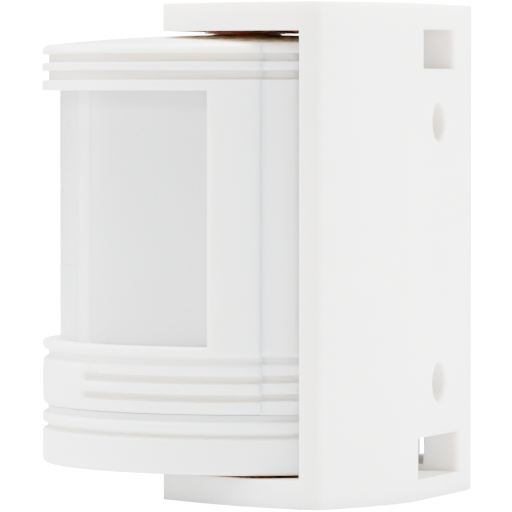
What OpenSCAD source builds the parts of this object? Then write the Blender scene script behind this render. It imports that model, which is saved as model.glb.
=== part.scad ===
// Battery motion sensor: a ribbed D-shaped head that pans in a U-shaped wall bracket.
// The origin is on the pan axis, at the underside of the bracket. The lens faces -Y, the wall is at +Y.

/* [Bracket] */
// Height over both arms
bracket_h = 70; // [69.8:0.1:74]
// Half of the width over the side walls
bracket_half_w = 28.9; // [28.6:0.1:30]
// Distance from the pan axis to the wall face
wall_y = 29.6; // [29.5:0.1:30]
// Half of the width of the flat wall face
flat_half_w = 11.7; // [11:0.1:13]
// Thickness of the arms
arm_t = 3.9; // [3.7:0.1:4]
// Thickness of the rear wall at the flat wall face
rear_wall_t = 5.5; // [5:0.1:5.6]
// Distance between the two wall screws
screw_spacing = 37; // [30:1:40]
// Height halfway between the wall screws
screw_mid_z = 34.8; // [34:0.1:36]
// Radius of the wall screw holes
screw_hole_r = 3; // [2:0.1:3.5]

/* [Head] */
// Outer radius of the round part of the head
head_r = 29.6; // [29.5:0.1:29.8]
// Distance from the pan axis to the flat back of the head
head_back_y = 22; // [21.8:0.1:22]
// Thickness of the round shell
shell_t = 2.5; // [2.4:0.05:2.6]
// Half angle of the lens window, from straight ahead
window_angle = 101.5; // [60:0.5:102]
// Lower edge of the lens window
window_z0 = 22.1; // [22:0.1:24]
// Upper edge of the lens window
window_z1 = 57.75; // [56:0.05:58]
// Height at which the shell meets the bottom cap
seam_z = 12.8; // [12.8:0.1:13]
// Depth of the square grooves above the window
groove_depth = 0.95; // [0.5:0.05:1]

/* [Pivots] */
// Radius of the pivot stubs on the arms
stub_r = 3.5; // [3:0.1:4]
// Length of the pivot stubs
stub_len = 3.4; // [3:0.1:3.5]
// Radial clearance of the stubs in their hubs
stub_gap = 0.06; // [0.03:0.01:0.1]

/* [Hidden] */
$fn = 96;

over = 1;                                // how far a cutting solid runs past the face it cuts
far = 80;                                // half size of a cutting solid that has to clear everything

// Bracket outline, right half
side_rear = [bracket_half_w, wall_y - 7.3];
side_front = [bracket_half_w, wall_y - 10];
tip_side = [20.7, wall_y - 32.8];
tip_front = [19.1, wall_y - 34.6];
oblique_turn = 22;
oblique_t = 2.9;
oblique_len = norm([flat_half_w, wall_y] - side_rear);
oblique_r = oblique_len / (2 * sin(oblique_turn / 2));
cavity_back = wall_y - rear_wall_t;
cavity_side = bracket_half_w - oblique_t;
cavity_corner = [19.4, cavity_back];
cavity_shoulder = [cavity_side, wall_y - 8.9];

// Rectangular holes in the rear wall
top_slot = [6.9, 60.8, 66.4];            // half width, lower edge, upper edge
bottom_slot = [8.9, 3.0, 8.85];

// Head outline: a circle cut by a flat back and two slanted flats
slant_angle = 16.3;
slant_d = 23.75;
back_t = 2;
split_y = 12.9;
shoulder_y = 17.9;
inner_r = head_r - shell_t;

// Heights
head_z0 = arm_t + 0.45;
head_apex_z = bracket_h - arm_t - 0.25;
rim_z = head_apex_z - 1.5;
rim_round = 1.1;
crown_r = (pow(head_r - rim_round, 2) + pow(1.5, 2)) / (2 * 1.5);
roof_z = rim_z - 1.8;
floor_t = 1.6;
seam_gap = 0.25;
plate_z0 = seam_z + 0.1;
plate_z1 = plate_z0 + floor_t;
hub_r = 6.2;
hub_depth = 3.45;

// Grooves: [lower edge, upper edge]
top_grooves = [[61.75, 62.95], [59.25, 60.55]];
low_groove = [19.4, 20.8];
side_grooves = [[16.8, 18.2], [14.3, 15.6]];
cap_groove = [9.2, 10.3];
low_depth = 0.6;
low_slope = 0.35;
pad_angle = 56;
cover_step = 0.15;
tongue_t = 1.4;
tongue_z = [43, 53];

// Lens
lens_t = 0.7;
lens_r = inner_r - 0.05;
lens_lap = 1.2;
retainer_t = 1.1;
retainer_r = lens_r - lens_t - 0.05;

// Boards, battery bay and controls
board_y0 = 1.3;
board_y1 = 2.9;
screw_r = 1.1;
screw_head_r = 2;
boss_r = 3.3;
boss_len = 5.9;
pin_r = 0.32;
pin_pitch = 2.54;
pin_z = 20.9;
sensor_z = 40;
can_y = board_y0 - 2.2;
can_h = 4.2;
cell_r = 5.25;
cell_len = 44.5;
cell_y = 9.8;
cell_z = [21.35, 32.85];
contact_x = 23.5;
contact_t = 0.4;
cradle_y0 = board_y1 + 0.5;
lug_x = 17;
lug_z = 43.5;
lug_w = 5.2;
led_at = [9, 30];
cell_nub = 1.2;
control_z0 = 18.4;
control_z1 = 19.8;
dial_at = [8.5, -16];
dial_r = 2.4;
learn_y = -19;
mode_at = [-1.5, -10];
base_screw_at = [[21, -11.5], [23.8, -1], [-21, -11.5], [-23.8, -1]];
rail_x = 15;
rail_y = [-16, 14];

// Points after p on an arc that turns left by turn degrees and ends at q
function arc_to(p, q, turn, steps) =
    let (d = q - p,
         r = norm(d) / (2 * sin(turn / 2)),
         c = (p + q) / 2 + [-d[1], d[0]] / norm(d) * r * cos(turn / 2),
         a = atan2(p[1] - c[1], p[0] - c[0]))
    [for (i = [1:steps]) c + r * [cos(a + turn * i / steps), sin(a + turn * i / steps)]];

function flip(p) = [-p[0], p[1]];

// Outline of the bracket seen from above
module bracket_outline() {
    wall_corner = [flat_half_w, wall_y];
    polygon(concat(
        [wall_corner, flip(wall_corner)],
        arc_to(flip(wall_corner), flip(side_rear), oblique_turn, 14),
        [flip(side_front)],
        arc_to(flip(side_front), flip(tip_side), 24, 14),
        arc_to(flip(tip_side), flip(tip_front), 58, 6),
        arc_to(flip(tip_front), tip_front, 17, 16),
        arc_to(tip_front, tip_side, 58, 6),
        arc_to(tip_side, side_front, 24, 14),
        [side_rear],
        arc_to(side_rear, wall_corner, oblique_turn, 14)));
}

// Space between the walls of the bracket, seen from above
module cavity_outline() {
    polygon(concat(
        [[cavity_side, -far], cavity_shoulder],
        arc_to(cavity_shoulder, cavity_corner, 9, 6),
        [flip(cavity_corner)],
        arc_to(flip(cavity_corner), flip(cavity_shoulder), 9, 6),
        [[-cavity_side, -far]]));
}

module bracket() {
    color("white") difference() {
        union() {
            difference() {
                linear_extrude(bracket_h) bracket_outline();
                translate([0, 0, arm_t]) linear_extrude(bracket_h - 2 * arm_t) cavity_outline();
                translate([-far, -far, arm_t])
                    cube([2 * far, far + side_front[1], bracket_h - 2 * arm_t]);
            }
            translate([0, 0, arm_t - 0.5]) cylinder(r = stub_r, h = stub_len + 0.5);
            translate([0, 0, bracket_h - arm_t - stub_len]) cylinder(r = stub_r, h = stub_len + 0.5);
        }
        for (side = [-1, 1])
            translate([0, cavity_back - over, screw_mid_z + side * screw_spacing / 2])
                rotate([-90, 0, 0]) cylinder(r = screw_hole_r, h = rear_wall_t + 2 * over);
        rear_slot(top_slot);
        rear_slot(bottom_slot);
    }
}

// Cutter for one rectangular hole: s holds the half width and the two heights
module rear_slot(s) {
    translate([-s[0], cavity_back - over, s[1]])
        cube([2 * s[0], rear_wall_t + 2 * over, s[2] - s[1]]);
}

// D-shaped plan of the head, drawn in by inset on the round side and back_inset behind
module head_outline(inset, back_inset) {
    y_back = head_back_y - back_inset;
    d_slant = slant_d - back_inset;
    x_back = (d_slant - y_back * cos(slant_angle)) / sin(slant_angle);
    x_side = (d_slant - split_y / 2 * cos(slant_angle)) / sin(slant_angle);
    intersection() {
        circle(r = head_r - inset);
        polygon([[x_back, y_back], [-x_back, y_back], [-x_side, split_y / 2], [-x_side, -far],
                 [x_side, -far], [x_side, split_y / 2]]);
    }
}

// Wedge seen from above that reaches from -angle to +angle about straight ahead
module wedge(angle, z0, z1) {
    translate([0, 0, z0]) linear_extrude(z1 - z0)
        polygon(concat([[0, 0]],
            [for (i = [0:12]) far * [sin(angle * (i / 6 - 1)), -cos(angle * (i / 6 - 1))]]));
}

// Ring cutter with square walls
module square_groove(z0, z1, depth) {
    rotate_extrude() translate([head_r - depth, z0]) square([depth + over, z1 - z0]);
}

// Ring cutter with sloped walls
module sloped_groove(z, lift) {
    rotate_extrude() polygon([[head_r - low_depth, z[0] + low_slope + lift],
        [head_r + over, z[0] - low_slope + lift], [head_r + over, z[1] + low_slope + lift],
        [head_r - low_depth, z[1] - low_slope + lift]]);
}

// Crowned solid with the outline of the head, from the seam up
module head_solid() {
    intersection() {
        translate([0, 0, seam_z]) linear_extrude(head_apex_z - seam_z + over) head_outline(0, 0);
        translate([0, 0, head_apex_z - crown_r]) sphere(r = crown_r, $fn = 200);
        rotate_extrude() polygon(concat([[0, seam_z], [head_r, seam_z], [head_r, rim_z - rim_round]],
            [for (i = [1:6]) [head_r - rim_round + rim_round * cos(i * 15),
                              rim_z - rim_round + rim_round * sin(i * 15)]],
            [[head_r - rim_round, head_apex_z + over], [0, head_apex_z + over]]));
    }
}

// Ribbed shell: lift moves the lower grooves up on the rear part
module head_shell(lift) {
    difference() {
        head_solid();
        translate([0, 0, seam_z - over]) linear_extrude(roof_z - seam_z + over)
            head_outline(shell_t, back_t);
        for (g = top_grooves) square_groove(g[0], g[1], groove_depth);
        sloped_groove(low_groove, lift);
        for (g = side_grooves) difference() {
            sloped_groove(g, lift);
            wedge(pad_angle, g[0] - over, g[1] + over);
        }
    }
}

module front_housing() {
    color("white") difference() {
        union() {
            intersection() {
                head_shell(0);
                translate([-far, -far, 0]) cube([2 * far, far + split_y, far]);
            }
            translate([0, 0, roof_z - 1]) cylinder(r = hub_r, h = 2.5);
            for (p = base_screw_at) intersection() {
                translate([p[0], p[1], plate_z1]) cylinder(r = boss_r, h = boss_len);
                cylinder(r = inner_r + 0.5, h = far);
            }
        }
        translate([0, 0, head_apex_z - hub_depth]) cylinder(r = stub_r + stub_gap, h = hub_depth + over);
        intersection() {
            wedge(window_angle, window_z0, window_z1);
            rotate_extrude() translate([inner_r - over, window_z0])
                square([shell_t + 2 * over, window_z1 - window_z0]);
        }
        for (p = base_screw_at) translate([p[0], p[1], plate_z1 - over])
            cylinder(r = screw_r, h = over + boss_len - 1.1);
    }
}

module rear_cover() {
    color("white") {
        intersection() {
            head_shell(cover_step);
            translate([-far, split_y, 0]) cube([2 * far, far, far]);
        }
        // Skirt that closes the back of the bottom cap
        translate([0, 0, head_z0]) linear_extrude(seam_z - head_z0) intersection() {
            difference() {
                head_outline(0, 0);
                head_outline(shell_t, back_t);
            }
            translate([-far, shoulder_y]) square([2 * far, far]);
        }
        // Tongues that snap behind the front shell
        tongue(inner_r - tongue_t, inner_r - 0.15, split_y - 3.5, split_y);
        tongue(inner_r - tongue_t, inner_r + 0.5, split_y, split_y + 3);
    }
}

// Pair of curved strips between two radii and two distances behind the pan axis
module tongue(r0, r1, y0, y1) {
    intersection() {
        translate([0, 0, tongue_z[0]]) difference() {
            cylinder(r = r1, h = tongue_z[1] - tongue_z[0]);
            translate([0, 0, -over]) cylinder(r = r0, h = far);
        }
        translate([-far, y0, 0]) cube([2 * far, y1 - y0, far]);
    }
}

module bottom_cap() {
    floor_z1 = head_z0 + 1.5;
    top_z = seam_z - seam_gap;
    edge = 0.7;
    color("white") difference() {
        union() {
            difference() {
                intersection() {
                    translate([0, 0, head_z0]) linear_extrude(top_z - head_z0) intersection() {
                        head_outline(0, 0);
                        translate([-far, shoulder_y - seam_gap - 2 * far]) square(2 * far);
                    }
                    rotate_extrude() polygon([[0, head_z0], [head_r - edge, head_z0],
                        [head_r, head_z0 + edge], [head_r, top_z], [0, top_z]]);
                }
                translate([0, 0, floor_z1]) linear_extrude(far) circle(r = head_r - 2);
                square_groove(seam_z - 1, seam_z + over, low_depth);
                sloped_groove(cap_groove, 0);
            }
            // Guides that hook over the rails of the base plate
            for (side = [-1, 1]) {
                translate([side * (rail_x + 4.4) - 0.7, rail_y[0], floor_z1 - 0.5])
                    cube([1.4, rail_y[1] - rail_y[0], 12 - floor_z1 + 0.5]);
                translate([side * (rail_x + 2.8) - 1, rail_y[0], 9.75])
                    cube([2, rail_y[1] - rail_y[0], 1.2]);
            }
        }
        // Slot that lets the cap slide forward past the hub
        translate([0, 0, head_z0 - over]) cylinder(r = hub_r + 0.4, h = 2.5 + over);
        translate([-hub_r - 0.4, 0, head_z0 - over]) cube([2 * hub_r + 0.8, far, 2.5 + over]);
    }
}

module lens() {
    color("lightgray") intersection() {
        rotate_extrude() translate([lens_r - lens_t, window_z0 - lens_lap])
            square([lens_t, window_z1 - window_z0 + 2 * lens_lap]);
        wedge(window_angle + 2, 0, far);
    }
}

module lens_retainer() {
    z0 = window_z0 - lens_lap - 0.2;
    z1 = roof_z - 0.2;
    color("whitesmoke") difference() {
        intersection() {
            rotate_extrude() translate([retainer_r - retainer_t, z0]) square([retainer_t, z1 - z0]);
            wedge(window_angle + 4, 0, far);
        }
        wedge(window_angle - 5, window_z0 + 2, window_z1 - 2);
    }
}

module base_plate() {
    color("white") difference() {
        union() {
            translate([0, 0, plate_z0]) linear_extrude(floor_t) head_outline(shell_t + 0.2, back_t + 0.2);
            translate([0, 0, head_z0 + 0.1]) cylinder(r = hub_r, h = plate_z0 - head_z0);
            for (side = [-1, 1]) {
                translate([side * 11, -6, plate_z0]) cylinder(r = 1.5, h = control_z0 - plate_z0);
                translate([side * 5.2, -21.6, plate_z0]) cylinder(r = 1.1, h = control_z0 - plate_z0);
            }
            for (side = [-1, 1]) {
                translate([side * (rail_x + 0.7) - 0.7, rail_y[0], 8.2])
                    cube([1.4, rail_y[1] - rail_y[0], plate_z0 - 8.2 + 0.5]);
                translate([side * (rail_x + 1.6) - 1.6, rail_y[0], 8.2])
                    cube([3.2, rail_y[1] - rail_y[0], 1.2]);
            }
        }
        translate([0, 0, head_z0 - over]) cylinder(r = stub_r + stub_gap, h = 5 + over);
        for (p = base_screw_at) translate([p[0], p[1], plate_z0 - over]) {
            cylinder(r = screw_r, h = floor_t + 2 * over);
            cylinder(r = screw_head_r + 0.1, h = 0.9 + over);
        }
        for (side = [-1, 1]) translate([side * dial_at[0], dial_at[1], plate_z0 - over])
            cylinder(r = dial_r + 0.3, h = floor_t + 2 * over);
        translate([0, learn_y, plate_z0 - over]) cylinder(r = 2.15, h = floor_t + 2 * over);
        translate([-3.2, mode_at[1] - 1.2, plate_z0 - over]) cube([6.4, 2.4, floor_t + 2 * over]);
    }
}

module base_screws() {
    color("silver") for (p = base_screw_at) translate([p[0], p[1], plate_z0]) difference() {
        union() {
            cylinder(r = screw_head_r, h = 0.9);
            cylinder(r = screw_r, h = 6.5);
        }
        translate([0, 0, -over]) cross_recess(over + 0.6);
    }
}

// Cross-shaped driver recess along +Z
module cross_recess(depth) {
    translate([-1.1, -0.3, 0]) cube([2.2, 0.6, depth]);
    translate([-0.3, -1.1, 0]) cube([0.6, 2.2, depth]);
}

module main_board() {
    color("darkgreen") difference() {
        translate([-19, board_y0, 15]) cube([38, board_y1 - board_y0, 44.5]);
        for (side = [-1, 1]) translate([side * lug_x, 0, lug_z]) rotate([-90, 0, 0])
            cylinder(r = screw_r, h = 5);
        for (i = [-2:2]) translate([i * pin_pitch, 0, pin_z]) rotate([-90, 0, 0])
            cylinder(r = pin_r, h = 5);
    }
}

module board_screws() {
    color("silver") for (side = [-1, 1]) translate([side * lug_x, board_y0, lug_z])
        rotate([-90, 0, 0]) difference() {
            union() {
                translate([0, 0, -1.2]) cylinder(r = screw_head_r, h = 1.2);
                cylinder(r = screw_r, h = 6.4);
            }
            translate([0, 0, -1.2 - over]) cross_recess(over + 0.7);
        }
}

module sensor_can() {
    color("silver") translate([0, can_y, sensor_z]) rotate([90, 0, 0]) difference() {
        union() {
            cylinder(r = 4.6, h = 0.5);
            cylinder(r = 4.1, h = can_h);
        }
        translate([-1.9, -1.6, can_h - 0.4]) cube([3.8, 3.2, 0.4 + over]);
    }
}

module sensor_window() {
    color("dimgray") translate([-1.9, can_y - can_h, sensor_z - 1.6]) cube([3.8, 0.4, 3.2]);
}

module sensor_leads() {
    color("gold") for (a = [90, 210, 330])
        translate([pin_pitch * cos(a), can_y, sensor_z + pin_pitch * sin(a)]) rotate([-90, 0, 0])
            cylinder(r = 0.23, h = board_y0 - can_y);
}

module sensor_shroud() {
    color("black") translate([0, board_y0, sensor_z]) rotate([90, 0, 0]) difference() {
        cylinder(r = 6.2, h = 3.8);
        translate([0, 0, -over]) cylinder(r = 4.9, h = 3.8 + 2 * over);
    }
}

module status_led() {
    color("salmon") translate([led_at[0], board_y0, led_at[1]]) rotate([90, 0, 0]) {
        cylinder(r = 1.9, h = 1);
        cylinder(r = 1.5, h = 3.2);
        translate([0, 0, 3.2]) sphere(r = 1.5);
    }
}

module light_sensor() {
    color("sienna") translate([-led_at[0], board_y0, led_at[1]]) rotate([90, 0, 0])
        cylinder(r = 2.5, h = 2);
}

module controller_chip() {
    color("black") translate([-4, board_y0 - 1.6, 25.5]) cube([8, 1.6, 5]);
}

module supply_capacitor() {
    color("midnightblue") translate([13, board_y0, 53]) rotate([90, 0, 0])
        cylinder(r = 2.5, h = 6);
}

module radio_module() {
    color("green") {
        translate([-10, 6, 42.5]) cube([20, 1, 15]);
        for (i = [-3:3]) translate([i * pin_pitch - pin_r, board_y1, 43.2])
            cube([2 * pin_r, 6.5 - board_y1, 2 * pin_r]);
    }
}

module radio_crystal() {
    color("silver") translate([-5, 7, 49.5]) hull() {
        translate([-2.5, 0, 0]) rotate([-90, 0, 0]) cylinder(r = 1.9, h = 3, $fn = 32);
        translate([2.5, 0, 0]) rotate([-90, 0, 0]) cylinder(r = 1.9, h = 3, $fn = 32);
    }
}

module antenna_coil() {
    color("orangered") translate([6, 9.4, 44]) cylinder(r = 2.3, h = 13);
}

module battery_cradle() {
    z0 = plate_z1;
    z1 = cell_z[1] + cell_r + 1.4;
    y1 = cell_y + 2;
    color("ivory") difference() {
        intersection() {
            union() {
                translate([-contact_x - 1.5, cradle_y0, z0])
                    cube([2 * contact_x + 3, y1 - cradle_y0, z1 - z0]);
                for (side = [-1, 1]) translate([side * lug_x - lug_w / 2, board_y1, z1 - 1.4])
                    cube([lug_w, 5.6, lug_z + lug_w / 2 - z1 + 1.4]);
            }
            linear_extrude(far) head_outline(shell_t + 0.3, back_t + 0.3);
        }
        for (z = cell_z) translate([-contact_x - contact_t, cell_y, z]) rotate([0, 90, 0])
            cylinder(r = cell_r + 0.2, h = 2 * (contact_x + contact_t));
        for (side = [-1, 1]) translate([side * lug_x, 0, lug_z]) rotate([-90, 0, 0])
            cylinder(r = screw_r, h = 12);
        // Slot for the strip that joins the two cells
        translate([-contact_x - contact_t, cell_y - 3.3, cell_z[0]])
            cube([contact_t + 0.1, 8, cell_z[1] - cell_z[0]]);
        // Room for the ends of the lens retainer
        difference() {
            wedge(window_angle + 5, 0, far);
            translate([0, 0, -over]) cylinder(r = retainer_r - retainer_t - 0.3, h = far + 2 * over);
        }
    }
}

// AAA cell with its positive end towards side
module cell(z, side) {
    translate([side * (contact_x - cell_len), cell_y, z]) rotate([0, 90 * side, 0]) {
        cylinder(r = cell_r, h = cell_len - cell_nub);
        translate([0, 0, cell_len - cell_nub - 0.3]) cylinder(r = 1.9, h = cell_nub + 0.3);
    }
}

module cell_upper() {
    color("steelblue") cell(cell_z[1], 1);
}

module cell_lower() {
    color("steelblue") cell(cell_z[0], -1);
}

module cell_springs() {
    color("silver") for (i = [0, 1]) {
        side = i == 1 ? 1 : -1;
        translate([side * (contact_x - cell_len), cell_y, cell_z[i]])
            rotate([0, -90 * side, 0]) cylinder(r1 = 2, r2 = 3.2, h = 2 * contact_x - cell_len);
    }
}

module cell_plates() {
    color("silver") for (z = cell_z) translate([contact_x, cell_y - 3.2, z - 4])
        cube([contact_t, 5, 8]);
}

module cell_bridge() {
    color("silver") translate([-contact_x - contact_t, cell_y - 3.2, cell_z[0] - 4])
        cube([contact_t, 5, cell_z[1] - cell_z[0] + 8]);
}

module control_board() {
    color("darkgreen") translate([-13, -23, control_z0]) cube([26, 23.5, control_z1 - control_z0]);
}

module header_bar() {
    color("black") difference() {
        translate([-6.5, -3.2, control_z1]) cube([13, 2.5, 2.5]);
        for (i = [-2:2]) translate([i * pin_pitch, -4, pin_z]) rotate([-90, 0, 0])
            cylinder(r = pin_r, h = 5);
    }
}

module header_pins() {
    color("gold") for (i = [-2:2]) translate([i * pin_pitch, -3.2, pin_z]) rotate([-90, 0, 0])
        cylinder(r = pin_r, h = board_y1 + 0.2 + 3.2);
}

module learn_switch() {
    color("dimgray") difference() {
        translate([-3, learn_y - 3, control_z0 - 2]) cube([6, 6, 2]);
        translate([0, learn_y, control_z0 - 3]) cylinder(r = 1.6, h = 2.6);
    }
}

module learn_button() {
    color("gray") translate([0, learn_y, 0]) {
        translate([0, 0, plate_z0 - 0.5]) cylinder(r = 2, h = 3);
        translate([0, 0, plate_z1 + 0.2]) cylinder(r = 3, h = 0.7);
        translate([0, 0, plate_z1 + 0.5]) cylinder(r = 1.5, h = 2.2);
    }
}

module dial_bases() {
    color("royalblue") for (side = [-1, 1]) translate([side * dial_at[0], dial_at[1], 0]) difference() {
        translate([-3.25, -3.25, plate_z1 + 0.5]) cube([6.5, 6.5, control_z0 - plate_z1 - 0.5]);
        translate([0, 0, plate_z1]) cylinder(r = dial_r + 0.05, h = 3.3);
    }
}

module dial(side) {
    translate([side * dial_at[0], dial_at[1], plate_z0 - 0.6]) difference() {
        cylinder(r = dial_r, h = 5.2);
        translate([-far, -0.35, -over]) cube([2 * far, 0.7, over + 0.8]);
    }
}

module time_dial() {
    color("white") dial(1);
}

module light_dial() {
    color("white") dial(-1);
}

module mode_switch() {
    color("dimgray") difference() {
        translate([-4.5, mode_at[1] - 2, plate_z1 + 0.7]) cube([9, 4, control_z0 - plate_z1 - 0.7]);
        translate([-3, mode_at[1] - 1.1, plate_z1]) cube([6, 2.2, 2.6]);
    }
}

module mode_slider() {
    color("black") translate([mode_at[0] - 1, mode_at[1] - 0.9, plate_z0 - 0.5]) cube([2, 1.8, 4.5]);
}

bracket();
front_housing();
rear_cover();
bottom_cap();
lens();
lens_retainer();
base_plate();
base_screws();
main_board();
board_screws();
sensor_can();
sensor_window();
sensor_leads();
sensor_shroud();
status_led();
light_sensor();
controller_chip();
supply_capacitor();
radio_module();
radio_crystal();
antenna_coil();
battery_cradle();
cell_upper();
cell_lower();
cell_springs();
cell_plates();
cell_bridge();
control_board();
header_bar();
header_pins();
learn_switch();
learn_button();
dial_bases();
time_dial();
light_dial();
mode_switch();
mode_slider();
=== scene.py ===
"""Battery motion sensor: ribbed D-shaped head in a U-shaped wall bracket.

All lengths are in metres. Z is the pan axis, the lens faces -Y and the wall is at +Y.
"""

import math

import bpy
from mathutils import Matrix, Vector


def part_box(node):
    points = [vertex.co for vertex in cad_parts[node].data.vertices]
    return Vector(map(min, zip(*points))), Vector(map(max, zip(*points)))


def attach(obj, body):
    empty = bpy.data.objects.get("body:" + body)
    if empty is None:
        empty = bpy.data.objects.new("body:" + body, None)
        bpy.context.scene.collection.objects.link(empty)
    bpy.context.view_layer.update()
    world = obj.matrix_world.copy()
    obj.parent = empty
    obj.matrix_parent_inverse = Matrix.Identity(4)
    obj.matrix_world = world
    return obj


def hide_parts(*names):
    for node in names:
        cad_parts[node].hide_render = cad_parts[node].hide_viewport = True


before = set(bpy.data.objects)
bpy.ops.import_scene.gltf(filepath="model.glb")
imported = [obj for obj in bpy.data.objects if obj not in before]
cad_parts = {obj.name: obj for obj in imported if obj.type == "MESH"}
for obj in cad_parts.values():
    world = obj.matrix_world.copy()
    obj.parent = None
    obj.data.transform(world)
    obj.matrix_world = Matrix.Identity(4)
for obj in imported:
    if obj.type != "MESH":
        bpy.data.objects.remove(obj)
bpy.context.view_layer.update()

# Bracket
BRACKET_H = 0.0700
ARM_T = 0.0039
WALL_CORNER = (0.0117, 0.0296)
SIDE_REAR = (0.0289, 0.0223)
SIDE_FRONT = (0.0289, 0.0196)
TIP_SIDE = (0.0207, -0.0032)
TIP_FRONT = (0.0191, -0.0050)
CAVITY_BACK = 0.0241
CAVITY_CORNER = (0.0194, 0.0241)
CAVITY_SHOULDER = (0.0260, 0.0207)
HOLE_R = 0.0030
HOLE_Z = (0.0163, 0.0533)
TOP_SLOT = (0.0069, 0.0608, 0.0664)
BOTTOM_SLOT = (0.0089, 0.0030, 0.00885)
STUB_R = 0.0035
STUB_LEN = 0.0034
BOSS_R = 0.0062
BOSS_Z = (0.00425, 0.06588)
WELD = 0.0005
HOLE_CUT = 0.0075
SLOT_FLARE = 0.0010
HOLE_FLARE = 0.0007

# Head
HEAD_R = 0.0296
SHELL_T = 0.0025
INNER_R = HEAD_R - SHELL_T
BACK_Y = 0.0220
BACK_T = 0.0020
SLANT = math.radians(16.3)
SLANT_D = 0.02375
SPLIT_Y = 0.0129
SPLIT_GAP = 0.000002
SHOULDER_Y = 0.0179
HEAD_Z0 = 0.00435
SEAM_Z = 0.0128
CAP_TOP = 0.01269
APEX_Z = 0.06585
RIM_ROUND = 0.0011
RIM_Z = 0.06435
CROWN_R = 0.2715
ROOF_Z = 0.06255
HUB_R = 0.0062
HUB_DEPTH = 0.00345
WINDOW_DEG = 101.5
WINDOW_Z = (0.0221, 0.05775)
GROOVE_DEPTH = 0.00095
TOP_GROOVES = ((0.05925, 0.06055), (0.06175, 0.06295))
LOW_GROOVE = (0.0194, 0.0208)
SIDE_GROOVES = ((0.0143, 0.0156), (0.0168, 0.0182))
GROOVE_STEPS = 40
CAP_GROOVE = (0.0092, 0.0103)
LOW_DEPTH = 0.0009
PAD_DEG = 60
COVER_STEP = 0.00015
SCREW_BOSS_AT = ((0.0210, -0.0115), (0.0238, -0.0010), (-0.0210, -0.0115), (-0.0238, -0.0010))
SCREW_BOSS_R = 0.00345
SCREW_BOSS_Z = 0.0145
SCREW_BOSS_LEN = 0.0059
PILOT_R = 0.0011
PILOT_Z = 0.0135
PILOT_LEN = 0.0058
FRONT_GROOVES_TO = 130
REAR_GROOVES = (100, 145)
TONGUE_Z = (0.043, 0.053)
TONGUE_IN = INNER_R - 0.0014

# Bottom cap
CAP_EDGE = 0.0006
CAP_LIP_R = HEAD_R - 0.0008
CAP_GROOVE_R = HEAD_R - 0.00085
CAP_FLOOR = HEAD_Z0 + 0.0015
CAP_WALL_R = HEAD_R - 0.002
CAP_BACK_GAP = 0.00025
HUB_GAP = 0.0004
GUIDE_X = 0.0194
GUIDE_Y = (-0.016, 0.014)
GUIDE_TOP = 0.012
LIP_X = 0.0178
LIP_Z = (0.00975, 0.01095)

# Lens
LENS_R = 0.02705
LENS_T = 0.0007
LENS_DEG = 103.4
LENS_Z = (0.0210, 0.0588)
TILE_Z = (0.0226, 0.0330, 0.0440, 0.0572)
TILE_COUNT = (3, 5, 7)
TILE_DEG = 50
STRIP_DEG = (51.3, 57)
LENS_TONE_SPAN = 110
# Film colour by degrees from straight ahead: lighter ahead, darker on the plain side; the brighter band from
# 51.5 to 55.5 degrees is a painted highlight on the upright strip.
LENS_TONES_AND_STRIP_HIGHLIGHT = (
    (0, (0.60, 0.61, 0.635)),
    (49.5, (0.56, 0.57, 0.60)),
    (51.5, (0.66, 0.67, 0.69)),
    (55.5, (0.62, 0.63, 0.655)),
    (58, (0.485, 0.492, 0.515)),
    (110, (0.505, 0.512, 0.53)),
)

# Cells
CELL_Z = (0.02135, 0.03285)
CELL_Y = 0.0098
CELL_END = 0.0210
CONTACT_X = 0.0235

# Wire
COIL_R = 0.00205
COIL_WIRE = 0.0005
COIL_TURNS = 12
SPRING_R = 0.0026
SPRING_WIRE = 0.00045
SPRING_TURNS = 4
TURN_STEPS = 28

# Stage
VIEW_AZIMUTH = 112.325
VIEW_ELEVATION = 1.879
VIEW_TARGET = (-0.000460, 0.001121, 0.033876)
VIEW_DISTANCE = 0.70596
VIEW_LENS = 343.7
LIGHT_TARGET = (0, 0, 0.035)
SKY_LIT, SKY_SEEN = 0.62, 24
FLOOR_LIT, FLOOR_SEEN = 0.3, 22

# Cutters reach FAR past the object or OVER past a face
FAR = 0.09
OVER = 0.001
STEPS = 144


# ---------------------------------------------------------------- tools


def deselect_all():
    bpy.ops.object.select_all(action="DESELECT")


def make_active(piece):
    deselect_all()
    piece.select_set(True)
    bpy.context.view_layer.objects.active = piece


def to_edit():
    bpy.ops.object.mode_set(mode="EDIT")
    bpy.ops.mesh.select_mode(type="VERT")
    bpy.ops.mesh.select_all(action="SELECT")


def to_object():
    bpy.ops.object.mode_set(mode="OBJECT")


def draw_line(name, points):
    """An open line of edges through the points, left in edit mode with the line selected."""
    deselect_all()
    bpy.ops.mesh.primitive_plane_add(size=OVER)
    piece = bpy.context.object
    piece.name = name
    piece.data.name = name
    to_edit()
    bpy.ops.mesh.merge(type="CENTER")
    last = Vector(points[0])
    bpy.ops.transform.translate(value=last)
    for point in points[1:]:
        step = Vector(point) - last
        bpy.ops.mesh.extrude_region_move(TRANSFORM_OT_translate={"value": step})
        last = Vector(point)
    bpy.ops.mesh.select_all(action="SELECT")
    return piece


def draw_loop(name, points):
    """A closed line of edges, left in edit mode."""
    piece = draw_line(name, list(points) + [points[0]])
    bpy.ops.mesh.remove_doubles(threshold=0.000004)
    return piece


def close_solid():
    bpy.ops.mesh.select_all(action="SELECT")
    bpy.ops.mesh.remove_doubles(threshold=0.000004)
    bpy.ops.mesh.normals_make_consistent(inside=False)
    to_object()


def prism(name, plan, z0, z1):
    """A flat plan pulled up from z0 to z1."""
    piece = draw_loop(name, [(x, y, z0) for x, y in plan])
    bpy.ops.mesh.edge_face_add()
    bpy.ops.mesh.extrude_region_move(TRANSFORM_OT_translate={"value": (0, 0, z1 - z0)})
    close_solid()
    return piece


def turned(name, profile, steps=STEPS):
    """A profile of (radius, height) points that starts and ends on the axis, spun all the way round."""
    piece = draw_line(name, [(0, -r, z) for r, z in profile])
    bpy.ops.mesh.spin(steps=steps, angle=math.tau, center=(0, 0, 0), axis=(0, 0, 1))
    close_solid()
    return piece


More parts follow.
